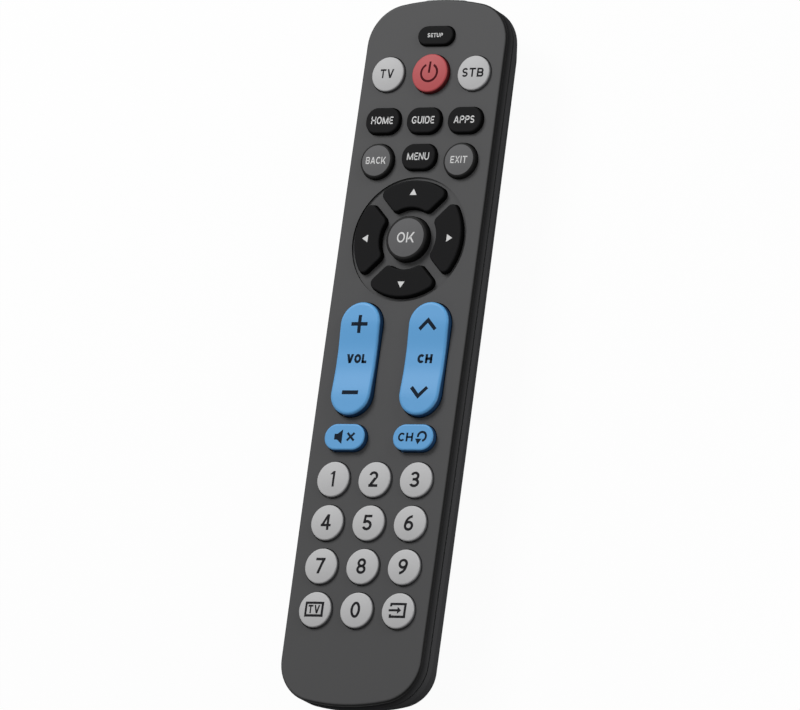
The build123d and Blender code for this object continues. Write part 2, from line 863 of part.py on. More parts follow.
def add_biarc(start, start_heading, end, end_heading):
    """Two arcs that join two points smoothly and keep both headings."""
    chord = end - start
    along = chord.dot(start_heading + end_heading)
    spread = 2 * (1 - start_heading.dot(end_heading))
    handle = (sqrt(along**2 + spread * chord.dot(chord)) - along) / spread
    first = start + start_heading * handle
    second = end - end_heading * handle
    joint = (first + second) * 0.5
    TangentArc(start, joint, tangent=start_heading)
    TangentArc(joint, end, tangent=second - first)


with BuildPart() as battery_springs:
    for place, direction in springs:
        stations = [
            coil_point(place, direction, quarter) for quarter in range(4 * spring_turns + 1)
        ]
        with BuildLine():
            for (start, start_heading), (end, end_heading) in zip(stations, stations[1:]):
                add_biarc(start, start_heading, end, end_heading)
        with BuildSketch(Plane(stations[0][0], z_dir=stations[0][1])):
            Circle(wire_radius)
        sweep()
battery_springs.part.label = "battery_springs"
export_step(battery_springs.part, "parts/battery_springs.step")
coil_stations = [coil_point(springs[0][0], 1, step / 8)[0] for step in range(32 * spring_turns + 1)]
coil_gap = min(
    (near - far).length - 2 * wire_radius
    for index, near in enumerate(coil_stations)
    for far in coil_stations[index + 16 :]
)
print(f"least gap between the turns of a battery spring: {coil_gap:.2f} mm")


# Circuit board: follows the outline of the body, with a hole for each screw
board_inset = 3.3
with BuildPart() as circuit_board:
    extrude(body_outline(board_height, board_inset), amount=board_thickness)
    with BuildSketch(Plane.XY.offset(board_height)):
        with Locations(*screw_places):
            Circle(screw_pass_radius)
    extrude(amount=board_thickness, mode=Mode.SUBTRACT)
circuit_board.part.label = "circuit_board"
export_step(circuit_board.part, "parts/circuit_board.step")

with BuildPart() as board_screws:
    with BuildSketch(Plane.XY.offset(board_height - screw_head_thickness)):
        with Locations(*screw_places):
            Circle(screw_head_radius)
    extrude(amount=screw_head_thickness)
    with BuildSketch(Plane.XY.offset(board_height)):
        with Locations(*screw_places):
            Circle(screw_radius)
    extrude(amount=board_thickness + screw_grip - screw_head_thickness)
    with BuildSketch(Plane.XY.offset(board_height - screw_head_thickness)):
        with Locations(*screw_places):
            Rectangle(socket_length, socket_width)
            Rectangle(socket_width, socket_length)
    extrude(amount=socket_depth, mode=Mode.SUBTRACT)
board_screws.part.label = "board_screws"
export_step(board_screws.part, "parts/board_screws.step")


# Contact pads: thin carbon discs on the board under every stem, a ring under the power key
pad_margin = 0.2
stem_places = []
for name, (place, style) in [*round_keys.items(), *long_keys.items()]:
    stem = lamp_stem_radius if name == "key_power" else style.stem
    stem_places.append((place, stem))
for place in arc_places:
    stem_places.append((place, stem_radius))
for place, style in rocker_keys.values():
    for side in (-1, 1):
        stem_places.append((Place(place.x, place.y + side * rocker_stem_reach), style.stem))

with BuildPart() as contact_pads:
    for place, stem in stem_places:
        with BuildSketch(Plane((place.x, place.y, board_top))):
            Circle(stem + pad_margin)
    extrude(amount=pad_thickness)
    with BuildSketch(Plane((0, source_y, board_top))):
        Circle(lamp_ring_radius)
    extrude(amount=pad_thickness, mode=Mode.SUBTRACT)
contact_pads.part.label = "contact_pads"
export_step(contact_pads.part, "parts/contact_pads.step")


# Keypad mat: the rubber sheet on the board, open under every stem and round every boss
mat_inset = 3.6
with BuildPart() as keypad_mat:
    extrude(body_outline(board_top, mat_inset), amount=mat_thickness)
    with BuildSketch(Plane.XY.offset(board_top)):
        for place, stem in stem_places:
            with Locations(place):
                Circle(stem + stem_clearance)
        with Locations(*screw_places):
            Circle(boss_radius + boss_clearance)
    extrude(amount=mat_thickness, mode=Mode.SUBTRACT)
keypad_mat.part.label = "keypad_mat"
export_step(keypad_mat.part, "parts/keypad_mat.step")


# Power lamp: a small chip lamp on the board inside the ring stem of the power key
lamp_length = 1.6
lamp_width = 0.8
lamp_height = 0.5
with BuildPart() as power_lamp:
    with Locations((0, source_y, board_top)):
        Box(lamp_length, lamp_width, lamp_height, align=(Align.CENTER, Align.CENTER, Align.MIN))
power_lamp.part.label = "power_lamp"
export_step(power_lamp.part, "parts/power_lamp.step")


# Infrared lamps: two domed lamps behind the window, their legs bent up to the board
led_radius = 2.5
led_length = 8.7
led_flange_radius = 2.9
led_flange_thickness = 1.0
led_spacing = 7.2
led_board_gap = 0.3
led_window_gap = 0.5
leg_size = 0.5
leg_spread = 2.54
leg_run = 2.0
led_axis_height = board_height - led_flange_radius - led_board_gap
led_lean = (belt_bottom - led_axis_height) * tan(radians(end_draft))
led_tip_y = signal_end_y + window_bulge - window_depth - led_lean - led_window_gap
led_back_y = led_tip_y - led_length
with BuildPart() as ir_leds:
    for x in (-led_spacing / 2, led_spacing / 2):
        back_plane = Plane((x, led_back_y, led_axis_height), z_dir=(0, 1, 0))
        with BuildSketch(back_plane):
            Circle(led_flange_radius)
        extrude(amount=led_flange_thickness)
        with BuildSketch(back_plane):
            Circle(led_radius)
        extrude(amount=led_length - led_radius)
        with Locations((x, led_tip_y - led_radius, led_axis_height)):
            Sphere(led_radius)
        for leg_x in (x - leg_spread / 2, x + leg_spread / 2):
            leg_left = leg_x - leg_size / 2
            leg_right = leg_x + leg_size / 2
            leg_end_y = led_back_y - leg_run
            add(
                box_between(
                    (leg_left, leg_end_y, led_axis_height - leg_size / 2),
                    (leg_right, led_back_y, led_axis_height + leg_size / 2),
                )
            )
            add(
                box_between(
                    (leg_left, leg_end_y, led_axis_height - leg_size / 2),
                    (leg_right, leg_end_y + leg_size, board_height),
                )
            )
ir_leds.part.label = "ir_leds"
export_step(ir_leds.part, "parts/ir_leds.step")


# Parts soldered to the underside of the board, in the free space beyond the battery bay
solder_gap = 0.1
chip_width = 7.5
chip_length = 12.8
chip_height = 2.1
chip_leg_count = 10
chip_leg_width = 0.45
chip_leg_reach = 1.4
chip_leg_thickness = 0.25
chip_pitch = 1.27
chip_x = 0
chip_share = 0.05


def under_board(x, y, width, length, height):
    """A block under the board, a solder gap below its copper."""
    return box_between(
        (x - width / 2, y - length / 2, board_height - solder_gap - height),
        (x + width / 2, y + length / 2, board_height - solder_gap),
    )


with BuildPart() as controller_chip:
    chip_y = body_mid_y + chip_share * body_length
    add(under_board(chip_x, chip_y, chip_width, chip_length, chip_height))
    leg_middle = board_height - solder_gap - chip_height / 2
    for side in (-1, 1):
        edge_x = chip_x + side * chip_width / 2
        knee_x = edge_x + side * chip_leg_reach / 2
        foot_x = edge_x + side * chip_leg_reach
        for step in range(chip_leg_count):
            leg_y = chip_y + (step - (chip_leg_count - 1) / 2) * chip_pitch
            low_y = leg_y - chip_leg_width / 2
            high_y = leg_y + chip_leg_width / 2
            far_x = knee_x + side * chip_leg_thickness
            add(
                box_between(
                    (min(edge_x, far_x), low_y, leg_middle - chip_leg_thickness),
                    (max(edge_x, far_x), high_y, leg_middle),
                )
            )
            add(
                box_between(
                    (min(knee_x, far_x), low_y, leg_middle - chip_leg_thickness),
                    (max(knee_x, far_x), high_y, board_height),
                )
            )
            add(
                box_between(
                    (min(knee_x, foot_x), low_y, board_height - chip_leg_thickness),
                    (max(knee_x, foot_x), high_y, board_height),
                )
            )
controller_chip.part.label = "controller_chip"
export_step(controller_chip.part, "parts/controller_chip.step")

# Ceramic resonator beside the chip, standing on three short leads
resonator_x = 10.0
resonator_share = 0.07
resonator_width = 3.0
resonator_length = 8.0
resonator_height = 5.5
lead_radius = 0.25
lead_pitch = 2.5
lead_gap = 0.6
with BuildPart() as ceramic_resonator:
    resonator_y = body_mid_y + resonator_share * body_length
    resonator_top = board_height - lead_gap
    add(
        box_between(
            (
                resonator_x - resonator_width / 2,
                resonator_y - resonator_length / 2,
                resonator_top - resonator_height,
            ),
            (
                resonator_x + resonator_width / 2,
                resonator_y + resonator_length / 2,
                resonator_top,
            ),
        )
    )
    with BuildSketch(Plane((resonator_x, resonator_y, resonator_top))):
        with GridLocations(0, lead_pitch, 1, 3):
            Circle(lead_radius)
    extrude(amount=lead_gap)
ceramic_resonator.part.label = "ceramic_resonator"
export_step(ceramic_resonator.part, "parts/ceramic_resonator.step")

# Electrolytic capacitor: an upright can on two leads
capacitor_x = -9.0
capacitor_share = -0.07
capacitor_radius = 3.15
capacitor_height = 5.4
capacitor_edge_round = 0.5
with BuildPart() as capacitor:
    capacitor_y = body_mid_y + capacitor_share * body_length
    with BuildSketch(Plane((capacitor_x, capacitor_y, board_height - lead_gap))):
        Circle(capacitor_radius)
    extrude(amount=-capacitor_height)
    fillet(capacitor.faces().sort_by(Axis.Z)[0].edges(), radius=capacitor_edge_round)
    with BuildSketch(Plane((capacitor_x, capacitor_y, board_height - lead_gap))):
        with GridLocations(0, lead_pitch, 1, 2):
            Circle(lead_radius)
    extrude(amount=lead_gap)
capacitor.part.label = "capacitor"
export_step(capacitor.part, "parts/capacitor.step")

# Transistor that switches the infrared lamps: a small three-legged package
transistor_x = 6.0
transistor_share = 0.36
transistor_width = 1.3
transistor_length = 2.9
transistor_height = 1.0
transistor_leg_reach = 0.55
transistor_leg_width = 0.4
transistor_leg_thickness = 0.4
transistor_pitch = 1.9
with BuildPart() as transistor:
    transistor_y = body_mid_y + transistor_share * body_length
    add(
        under_board(
            transistor_x, transistor_y, transistor_width, transistor_length, transistor_height
        )
    )
    reach = transistor_width / 2 + transistor_leg_reach
    legs = [
        (transistor_x - reach, transistor_x, transistor_y - transistor_pitch / 2),
        (transistor_x - reach, transistor_x, transistor_y + transistor_pitch / 2),
        (transistor_x, transistor_x + reach, transistor_y),
    ]
    for low_x, high_x, leg_y in legs:
        add(
            box_between(
                (low_x, leg_y - transistor_leg_width / 2, board_height - transistor_leg_thickness),
                (high_x, leg_y + transistor_leg_width / 2, board_height),
            )
        )
transistor.part.label = "transistor"
export_step(transistor.part, "parts/transistor.step")

# Chip resistors and chip capacitors, small blocks soldered flat to the board
resistor_size = (1.25, 2.0, 0.5)
chip_capacitor_size = (1.25, 2.0, 0.9)
resistor_spots = [
    (-6.5, 0.16),
    (-3.5, 0.16),
    (-0.5, 0.16),
    (2.5, 0.16),
    (1.5, 0.36),
    (1.5, 0.39),
    (-1.5, 0.36),
    (-1.5, 0.39),
]
capacitor_spots = [
    (9.0, -0.01),
    (12.0, -0.01),
    (-9.0, 0.08),
    (-9.0, 0.05),
    (6.5, 0.16),
    (-6.0, 0.36),
]
small_parts = {
    "chip_resistors": (resistor_spots, resistor_size),
    "chip_capacitors": (capacitor_spots, chip_capacitor_size),
}
for name, (spots, size) in small_parts.items():
    with BuildPart() as small_part:
        for x, share in spots:
            with Locations((x, body_mid_y + share * body_length, board_height)):
                Box(*size, align=(Align.CENTER, Align.CENTER, Align.MAX))
    small_part.part.label = name
    export_step(small_part.part, f"parts/{name}.step")
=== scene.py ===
import bmesh
import bpy
import math
import numpy as np
from mathutils import Matrix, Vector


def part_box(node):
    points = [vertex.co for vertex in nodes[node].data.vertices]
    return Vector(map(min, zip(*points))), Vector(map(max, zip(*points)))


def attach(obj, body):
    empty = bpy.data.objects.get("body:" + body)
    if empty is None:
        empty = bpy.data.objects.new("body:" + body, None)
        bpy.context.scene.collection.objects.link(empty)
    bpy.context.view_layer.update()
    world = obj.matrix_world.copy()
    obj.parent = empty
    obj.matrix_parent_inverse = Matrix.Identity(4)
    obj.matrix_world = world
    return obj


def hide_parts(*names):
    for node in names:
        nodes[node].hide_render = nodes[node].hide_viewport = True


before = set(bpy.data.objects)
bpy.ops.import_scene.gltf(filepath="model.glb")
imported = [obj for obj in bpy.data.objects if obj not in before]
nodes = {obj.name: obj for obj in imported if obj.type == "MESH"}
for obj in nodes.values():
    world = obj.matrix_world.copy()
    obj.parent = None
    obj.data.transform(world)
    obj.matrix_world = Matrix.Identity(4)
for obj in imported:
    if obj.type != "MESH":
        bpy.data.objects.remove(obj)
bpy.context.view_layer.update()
scene = bpy.context.scene
MM = 0.001


# Face plate: a thin skin of satin grey plastic, moulded with an opening for each key and a round
# dish for the cursor keys, and bonded on the front case. Its rounded rim is coloured near black:
# partly the black of the frame that wraps the edge, partly painted shade of the gap to the case.
# It is the first piece to need the finishes below, which the keys share.
def feed(tree, socket, value):
    """Links an output to a socket, or sets the socket to a plain value."""
    if isinstance(value, bpy.types.NodeSocket):
        tree.links.new(value, socket)
    else:
        socket.default_value = value


def reckoned(tree, operation, *terms):
    """The output of a Math node; its terms are outputs or plain numbers."""
    node = tree.nodes.new("ShaderNodeMath")
    node.operation = operation
    for socket, term in zip(node.inputs, terms):
        feed(tree, socket, term)
    return node.outputs["Value"]


def blended(tree, share, first, second):
    """The output of a Mix node: first + share * (second - first), for two colours."""
    node = tree.nodes.new("ShaderNodeMix")
    node.data_type = "RGBA"
    for name, value in (("Factor", share), ("A", first), ("B", second)):
        feed(tree, node.inputs[name], value)
    return node.outputs["Result"]


# Moulded Grain: the fine grain of moulded plastic, as a small change of gloss and a bump height,
# both from one noise field on Object coordinates.
grain = bpy.data.node_groups.new("Moulded Grain", "ShaderNodeTree")
for name in ("Grain Size", "Roughness", "Bump Height"):
    grain.interface.new_socket(name, in_out="INPUT", socket_type="NodeSocketFloat")
grain.interface.new_socket("Roughness", in_out="OUTPUT", socket_type="NodeSocketFloat")
grain.interface.new_socket("Normal", in_out="OUTPUT", socket_type="NodeSocketVector")
grain_in = grain.nodes.new("NodeGroupInput")
grain_out = grain.nodes.new("NodeGroupOutput")
grain_place = grain.nodes.new("ShaderNodeTexCoord")
grain_noise = grain.nodes.new("ShaderNodeTexNoise")
grain_noise.inputs["Detail"].default_value = 3
grain_bump = grain.nodes.new("ShaderNodeBump")
grain_bump.inputs["Strength"].default_value = 0.5
gloss_spread = 0.12
noise_scale = reckoned(grain, "DIVIDE", 1.0, grain_in.outputs["Grain Size"])
speck = grain_noise.outputs["Fac"]
uneven = reckoned(grain, "MULTIPLY_ADD", speck, gloss_spread, grain_in.outputs["Roughness"])
grain.links.new(grain_place.outputs["Object"], grain_noise.inputs["Vector"])
grain.links.new(noise_scale, grain_noise.inputs["Scale"])
grain.links.new(speck, grain_bump.inputs["Height"])
grain.links.new(grain_in.outputs["Bump Height"], grain_bump.inputs["Distance"])
grain.links.new(uneven, grain_out.inputs["Roughness"])
grain.links.new(grain_bump.outputs["Normal"], grain_out.inputs["Normal"])

# The group below gives one colour where the surface faces up and a darker one down its side:
# painted shade on sides turned from the light. The limits are the upward parts of the normal
# where the top colour starts and where it is full.
side_shade = bpy.data.node_groups.new("Top With Painted Side Shade", "ShaderNodeTree")
for name, kind in (
    ("Top Starts", "NodeSocketFloat"),
    ("Top Full", "NodeSocketFloat"),
    ("Side Colour With Painted Shade", "NodeSocketColor"),
    ("Top Colour", "NodeSocketColor"),
):
    side_shade.interface.new_socket(name, in_out="INPUT", socket_type=kind)
side_shade.interface.new_socket("Colour", in_out="OUTPUT", socket_type="NodeSocketColor")
side_shade_in = side_shade.nodes.new("NodeGroupInput")
side_shade_out = side_shade.nodes.new("NodeGroupOutput")
side_shade_place = side_shade.nodes.new("ShaderNodeTexCoord")
side_shade_parts = side_shade.nodes.new("ShaderNodeSeparateXYZ")
side_shade_range = side_shade.nodes.new("ShaderNodeMapRange")
side_shade_colours = (side_shade_in.outputs["Side Colour With Painted Shade"], side_shade_in.outputs["Top Colour"])
side_shade.links.new(side_shade_place.outputs["Normal"], side_shade_parts.inputs["Vector"])
side_shade.links.new(side_shade_parts.outputs["Z"], side_shade_range.inputs["Value"])
side_shade.links.new(side_shade_in.outputs["Top Starts"], side_shade_range.inputs["From Min"])
side_shade.links.new(side_shade_in.outputs["Top Full"], side_shade_range.inputs["From Max"])
side_shade.links.new(blended(side_shade, side_shade_range.outputs["Result"], *side_shade_colours), side_shade_out.inputs["Colour"])


def finish_of(name, colour, roughness, grain_size, bump, metallic=0.0, specular=0.25):
    """A material with the shared grain; its sizes are in metres."""
    material = bpy.data.materials.new(name)
    material.use_nodes = True
    tree = material.node_tree
    surface = tree.nodes["Principled BSDF"]
    surface.inputs["Base Color"].default_value = (*colour, 1.0)
    surface.inputs["Metallic"].default_value = metallic
    surface.inputs["Specular IOR Level"].default_value = specular
    group = tree.nodes.new("ShaderNodeGroup")
    group.node_tree = grain
    group.inputs["Grain Size"].default_value = grain_size
    group.inputs["Roughness"].default_value = roughness
    group.inputs["Bump Height"].default_value = bump
    tree.links.new(group.outputs["Roughness"], surface.inputs["Roughness"])
    tree.links.new(group.outputs["Normal"], surface.inputs["Normal"])
    return material


def tint(material, colour):
    """Feeds a colour output to a material's Base Color."""
    tree = material.node_tree
    tree.links.new(colour, tree.nodes["Principled BSDF"].inputs["Base Color"])


def skinned(name, top, side, roughness, starts, full, specular=0.25):
    """A finely grained material with one colour on top and a darker one down the side, which is
    painted shade.
    """
    material = finish_of(name, top, roughness, 0.25 * MM, 0.004 * MM, specular=specular)
    group = material.node_tree.nodes.new("ShaderNodeGroup")
    group.node_tree = side_shade
    group.inputs["Top Starts"].default_value = starts
    group.inputs["Top Full"].default_value = full
    group.inputs["Side Colour With Painted Shade"].default_value = (*side, 1.0)
    group.inputs["Top Colour"].default_value = (*top, 1.0)
    tint(material, group.outputs["Colour"])
    return material


def dress(material, *names):
    """Gives CAD nodes a material in every slot."""
    for name in names:
        for place in nodes[name].material_slots:
            place.material = material


face_grey = (0.086, 0.086, 0.0875)
# The rim colour: partly the frame's black, partly painted shade of the gap between plate and case.
rim_black_and_shade = (0.004, 0.004, 0.004)
dress(skinned("face_satin", face_grey, rim_black_and_shade, 0.55, 0.72, 0.97, specular=0.1), "face_plate")


# Front case half: moulded in near-black plastic, it carries the face plate and the keys. Its narrow
# wall is coloured dark at the face, lighter towards the joint and dark again in the groove of the
# joint: a painted sheen, as of a rounded wall, and painted shade in the groove. A ramp over the
# height above the back paints these tones.
frame_finish = finish_of("frame_black", (0.04, 0.04, 0.042), 0.45, 0.3 * MM, 0.006 * MM, specular=0.0)
wall_foot = 14.7
wall_top = 18.3
groove_shade_share = 0.16
sheen_peak_share = 0.2
frame_tree = frame_finish.node_tree
frame_place = frame_tree.nodes.new("ShaderNodeTexCoord")
frame_parts = frame_tree.nodes.new("ShaderNodeSeparateXYZ")
frame_range = frame_tree.nodes.new("ShaderNodeMapRange")
frame_range.inputs["From Min"].default_value = wall_foot * MM
frame_range.inputs["From Max"].default_value = wall_top * MM
painted_sheen_ramp = frame_tree.nodes.new("ShaderNodeValToRGB")
# Painted shade in the groove, a painted sheen just above the joint, fading to a darker tone at the
# face.
sheen_stops = painted_sheen_ramp.color_ramp.elements
sheen_stops[0].position = groove_shade_share
sheen_stops[0].color = (0.008, 0.008, 0.008, 1.0)
sheen_stops[1].position = 1.0
sheen_stops[1].color = (0.02, 0.02, 0.021, 1.0)
sheen_stops.new(sheen_peak_share).color = (0.068, 0.068, 0.07, 1.0)
frame_tree.links.new(frame_place.outputs["Object"], frame_parts.inputs["Vector"])
frame_tree.links.new(frame_parts.outputs["Z"], frame_range.inputs["Value"])
frame_tree.links.new(frame_range.outputs["Result"], painted_sheen_ramp.inputs["Fac"])
tint(frame_finish, painted_sheen_ramp.outputs["Color"])
dress(frame_finish, "top_case")


# Rear case half and battery door: both moulded in a dark grey with a fine texture. The rear half
# hooks into the front half and shows as a wide band down the side; the door slides in its back.
dress(
    finish_of("shell_grey", (0.075, 0.075, 0.078), 0.5, 0.35 * MM, 0.012 * MM, specular=0.0),
    "rear_case",
    "battery_door",
)


# Infrared window: an insert with a slight sheen, set into the signal end in front of the
# infrared lamps. It is coloured light grey, a painted highlight on a dark lens.
dress(finish_of("window_grey", (0.42, 0.42, 0.43), 0.22, 0.5 * MM, 0.002 * MM), "ir_window")


# Black keys: hard plastic caps for setup, the shortcuts, menu and the four cursor directions,
# each held in the front case by a flange. Their sides are coloured darker than their tops: painted
# shade.
key_black = skinned(
    "key_black", (0.011, 0.011, 0.0115), (0.003, 0.003, 0.003), 0.5, 0.3, 0.95, specular=0.03
)
dress(key_black, "key_setup", "key_home", "key_guide", "key_apps", "key_menu")
dress(key_black, "key_up", "key_down", "key_left", "key_right")


# Back, exit and OK keys: black with a round grey cap set into the top. The cap ends at its own
# radius from the key's middle, where the black shows again.
cap_grey = (0.112, 0.112, 0.115)
for name, cap_radius in (("key_back", 4.2), ("key_exit", 4.2), ("key_ok", 5.3)):
    low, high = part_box(name)
    cap = finish_of(name + "_cap", cap_grey, 0.45, 0.25 * MM, 0.004 * MM, specular=0.1)
    tree = cap.node_tree
    place = tree.nodes.new("ShaderNodeTexCoord")
    flat = tree.nodes.new("ShaderNodeVectorMath")
    flat.operation = "MULTIPLY"
    flat.inputs[1].default_value = (1.0, 1.0, 0.0)
    far = tree.nodes.new("ShaderNodeVectorMath")
    far.operation = "DISTANCE"
    far.inputs[1].default_value = ((low[0] + high[0]) / 2, (low[1] + high[1]) / 2, 0.0)
    tree.links.new(place.outputs["Object"], flat.inputs[0])
    tree.links.new(flat.outputs["Vector"], far.inputs[0])
    inside = reckoned(tree, "LESS_THAN", far.outputs["Value"], cap_radius * MM)
    tint(cap, blended(tree, inside, (0.005, 0.005, 0.005, 1.0), (*cap_grey, 1.0)))
    dress(cap, name)


# Light keys: round domed caps in light grey plastic, twelve in the number block. Their sides are
# coloured darker than their tops: painted shade. The two source keys beside the power key are of
# the same grey and get a darker copy of it, as painted shade.
key_light_shaded = skinned("key_light_shaded", (0.47, 0.47, 0.475), (0.12, 0.12, 0.125), 0.5, 0.1, 0.65)
key_light = skinned("key_light", (0.54, 0.54, 0.545), (0.13, 0.13, 0.135), 0.5, 0.1, 0.65)
dress(key_light_shaded, "key_tv", "key_stb")
dress(key_light, "key_tv_input", "key_input", *[f"key_{digit}" for digit in range(10)])


# Coloured keys: the two rockers and the two short keys under them are moulded in blue, the power
# key in red. All have a rounded edge that is coloured darker down the side: painted shade.
key_blue = skinned(
    "key_blue", (0.11, 0.362, 0.695), (0.012, 0.05, 0.13), 0.38, 0.1, 0.6, specular=0.3
)
key_red = skinned("key_red", (0.42, 0.064, 0.07), (0.1, 0.01, 0.012), 0.45, 0.1, 0.6)
dress(key_blue, "key_volume", "key_channel", "key_mute", "key_channel_recall")
dress(key_red, "key_power")


# Rocker tops: a saddle that dips between the two ends, where a thumb rests, and levels off towards
# each end. The key's own faces are sliced across and its upper part is bent. The bend is full down
# to the bend depth less its run, and gone at the bend depth under the top.
rockers = ("key_volume", "key_channel")
rocker_half = 15.5
saddle_dip = 0.42
saddle_rise = 0.19
level_share = 0.1
climb_share = 0.62
slices = 44
bend_depth = 1.9
bend_run = 1.1
crease = math.radians(30)


def saddle(y, middle):
    """What the saddle adds to a rocker's height at y: from minus the dip in the middle to the
    rise at the ends, by the smooth step 3t^2 - 2t^3 of the share t of the climb. All in mm."""
    share = np.clip((np.abs(y - middle) / rocker_half - level_share) / climb_share, 0.0, 1.0)
    return (saddle_dip + saddle_rise) * share**2 * (3 - 2 * share) - saddle_dip


for body in rockers:
    source = nodes[body]
    low, high = [np.array(corner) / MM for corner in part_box(body)]
    form = bmesh.new()
    form.from_mesh(source.data)
    form.transform(Matrix.Scale(1 / MM, 4) @ source.matrix_world)
    bmesh.ops.remove_doubles(form, verts=form.verts[:], dist=0.001)
    for cut in np.linspace(low[1], high[1], slices)[1:-1]:
        geometry = form.verts[:] + form.edges[:] + form.faces[:]
        bmesh.ops.bisect_plane(form, geom=geometry, plane_co=(0, cut, 0), plane_no=(0, 1, 0))
    bmesh.ops.triangulate(form, faces=form.faces[:])
    form.verts.index_update()
    points = np.array([corner.co for corner in form.verts])
    corners = [[corner.index for corner in face.verts] for face in form.faces]
    form.free()
    bend = np.clip((points[:, 2] - high[2] + bend_depth) / bend_run, 0.0, 1.0)
    points[:, 2] += bend * saddle(points[:, 1], (low[1] + high[1]) / 2)
    mesh = bpy.data.meshes.new(body + "_saddle")
    mesh.from_pydata(points * MM, [], corners)
    mesh.materials.append(source.material_slots[0].material)
    mesh.shade_smooth()
    mesh.set_sharp_from_angle(angle=crease)
    rocker = bpy.data.objects.new(body + "_saddle", mesh)
    scene.collection.objects.link(rocker)
    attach(rocker, body)
    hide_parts(body)


# Words on the black and the grey-capped keys: a thin coat of white ink, printed on the finished
# tops. All other legends are printed in the same way, each in the ink of its kind of key.
def ink(name, colour):
    """A matt ink, finely grained."""
    return finish_of(name, colour, 0.6, 0.2 * MM, 0.001 * MM, specular=0.05)


def middle_of(name):
    """The middle of a CAD node's box seen from above, half way between its corners, in mm."""
    low, high = [np.array(corner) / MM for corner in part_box(name)]
    return (low[:2] + high[:2]) / 2


def dome_height(x, y, centre, top, rim_radius, crown):
    """Height of a key's top at (x, y): top less the drop of a sphere of the crown's radius
    R = (rim^2 + crown^2) / (2 crown), which is R - sqrt(R^2 - distance^2). All in mm."""
    if crown == 0:
        return np.full_like(x, top)
    radius = (rim_radius**2 + crown**2) / (2 * crown)
    far = (x - centre[0]) ** 2 + (y - centre[1]) ** 2
    return top - radius + np.sqrt(radius**2 - far)


def printed(name, outlines, material, body, crown=0.0):
    """Prints closed outlines, drawn in mm about the middle of a key's top, on that key. Each is
    one face, cut small where the top bends, and lies a hair above the height of the top. The
    crown is how far the top's middle stands over its rim."""
    round_key_width = 9.6
    wide_keys = {"key_ok": 12.2, "key_power": 10.6}
    ink_lift = 0.008
    centre = middle_of(body)
    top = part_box(body)[1][2] / MM
    rim_radius = wide_keys.get(body, round_key_width) / 2
    starts = np.cumsum([0] + [len(outline) for outline in outlines])
    faces = [list(range(start, end)) for start, end in zip(starts, starts[1:])]
    flat = [(x, y, 0.0) for x, y in np.vstack(outlines) + centre]
    mesh = bpy.data.meshes.new(name)
    mesh.from_pydata(flat, [], faces)
    form = bmesh.new()
    form.from_mesh(mesh)
    bmesh.ops.triangulate(form, faces=form.faces[:])
    if crown > 0 or body in rockers:
        for limit in (1.6, 0.8, 0.4):
            long_edges = [edge for edge in form.edges if edge.calc_length() > limit]
            bmesh.ops.subdivide_edges(form, edges=long_edges, cuts=1)
            bmesh.ops.triangulate(form, faces=form.faces[:])
    form.normal_update()
    form.to_mesh(mesh)
    form.free()
    points = np.empty(len(mesh.vertices) * 3)
    mesh.vertices.foreach_get("co", points)
    points = points.reshape(-1, 3)
    height = dome_height(points[:, 0], points[:, 1], centre, top, rim_radius, crown)
    points[:, 2] = height + ink_lift
    if body in rockers:
        points[:, 2] += saddle(points[:, 1], centre[1])
    mesh.vertices.foreach_set("co", (points * MM).ravel())
    mesh.update()
    mesh.materials.append(material)
    piece = bpy.data.objects.new(name, mesh)
    scene.collection.objects.link(piece)
    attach(piece, body)


def block(x0, y0, x1, y1):
    """The outline of an upright block between two corners."""
    return np.array([(x0, y0), (x1, y0), (x1, y1), (x0, y1)])


def slope(low_x, high_x, width, low_y=0.0, high_y=1.0):
    """The outline of a sloping stroke with level ends, from its left edge below to that above."""
    return np.array(
        [(low_x, low_y), (low_x + width, low_y), (high_x + width, high_y), (high_x, high_y)]
    )


def ring(centre, radii, thick, start=0.0, end=360.0):
    """The outlines of an oval stroke between two angles in degrees, in two halves. Each runs out
    along centre + radii * (cos, sin) and back along the same oval less the stroke."""
    halves = []
    middle = (start + end) / 2
    for first, last in ((start, middle), (middle, end)):
        turn = np.radians(np.linspace(first, last, 24))
        round_way = np.column_stack([np.cos(turn), np.sin(turn)])
        outer = round_way * np.array(radii)
        inner = round_way[::-1] * (np.array(radii) - thick)
        halves.append(np.vstack([outer, inner]) + np.array(centre))
    return halves


def bowl(reach, low, high, thick):
    """The outlines of a bowl that stands off a stem at zero, as in D, P and B: two level strokes
    and the right half of an oval ring."""
    tall = (high - low) / 2
    bend = reach - min(tall, 0.36)
    return [
        block(0, high - thick, bend, high),
        block(0, low, bend, low + thick),
        *ring((bend, low + tall), (reach - bend, tall), thick, -90, 90),
    ]


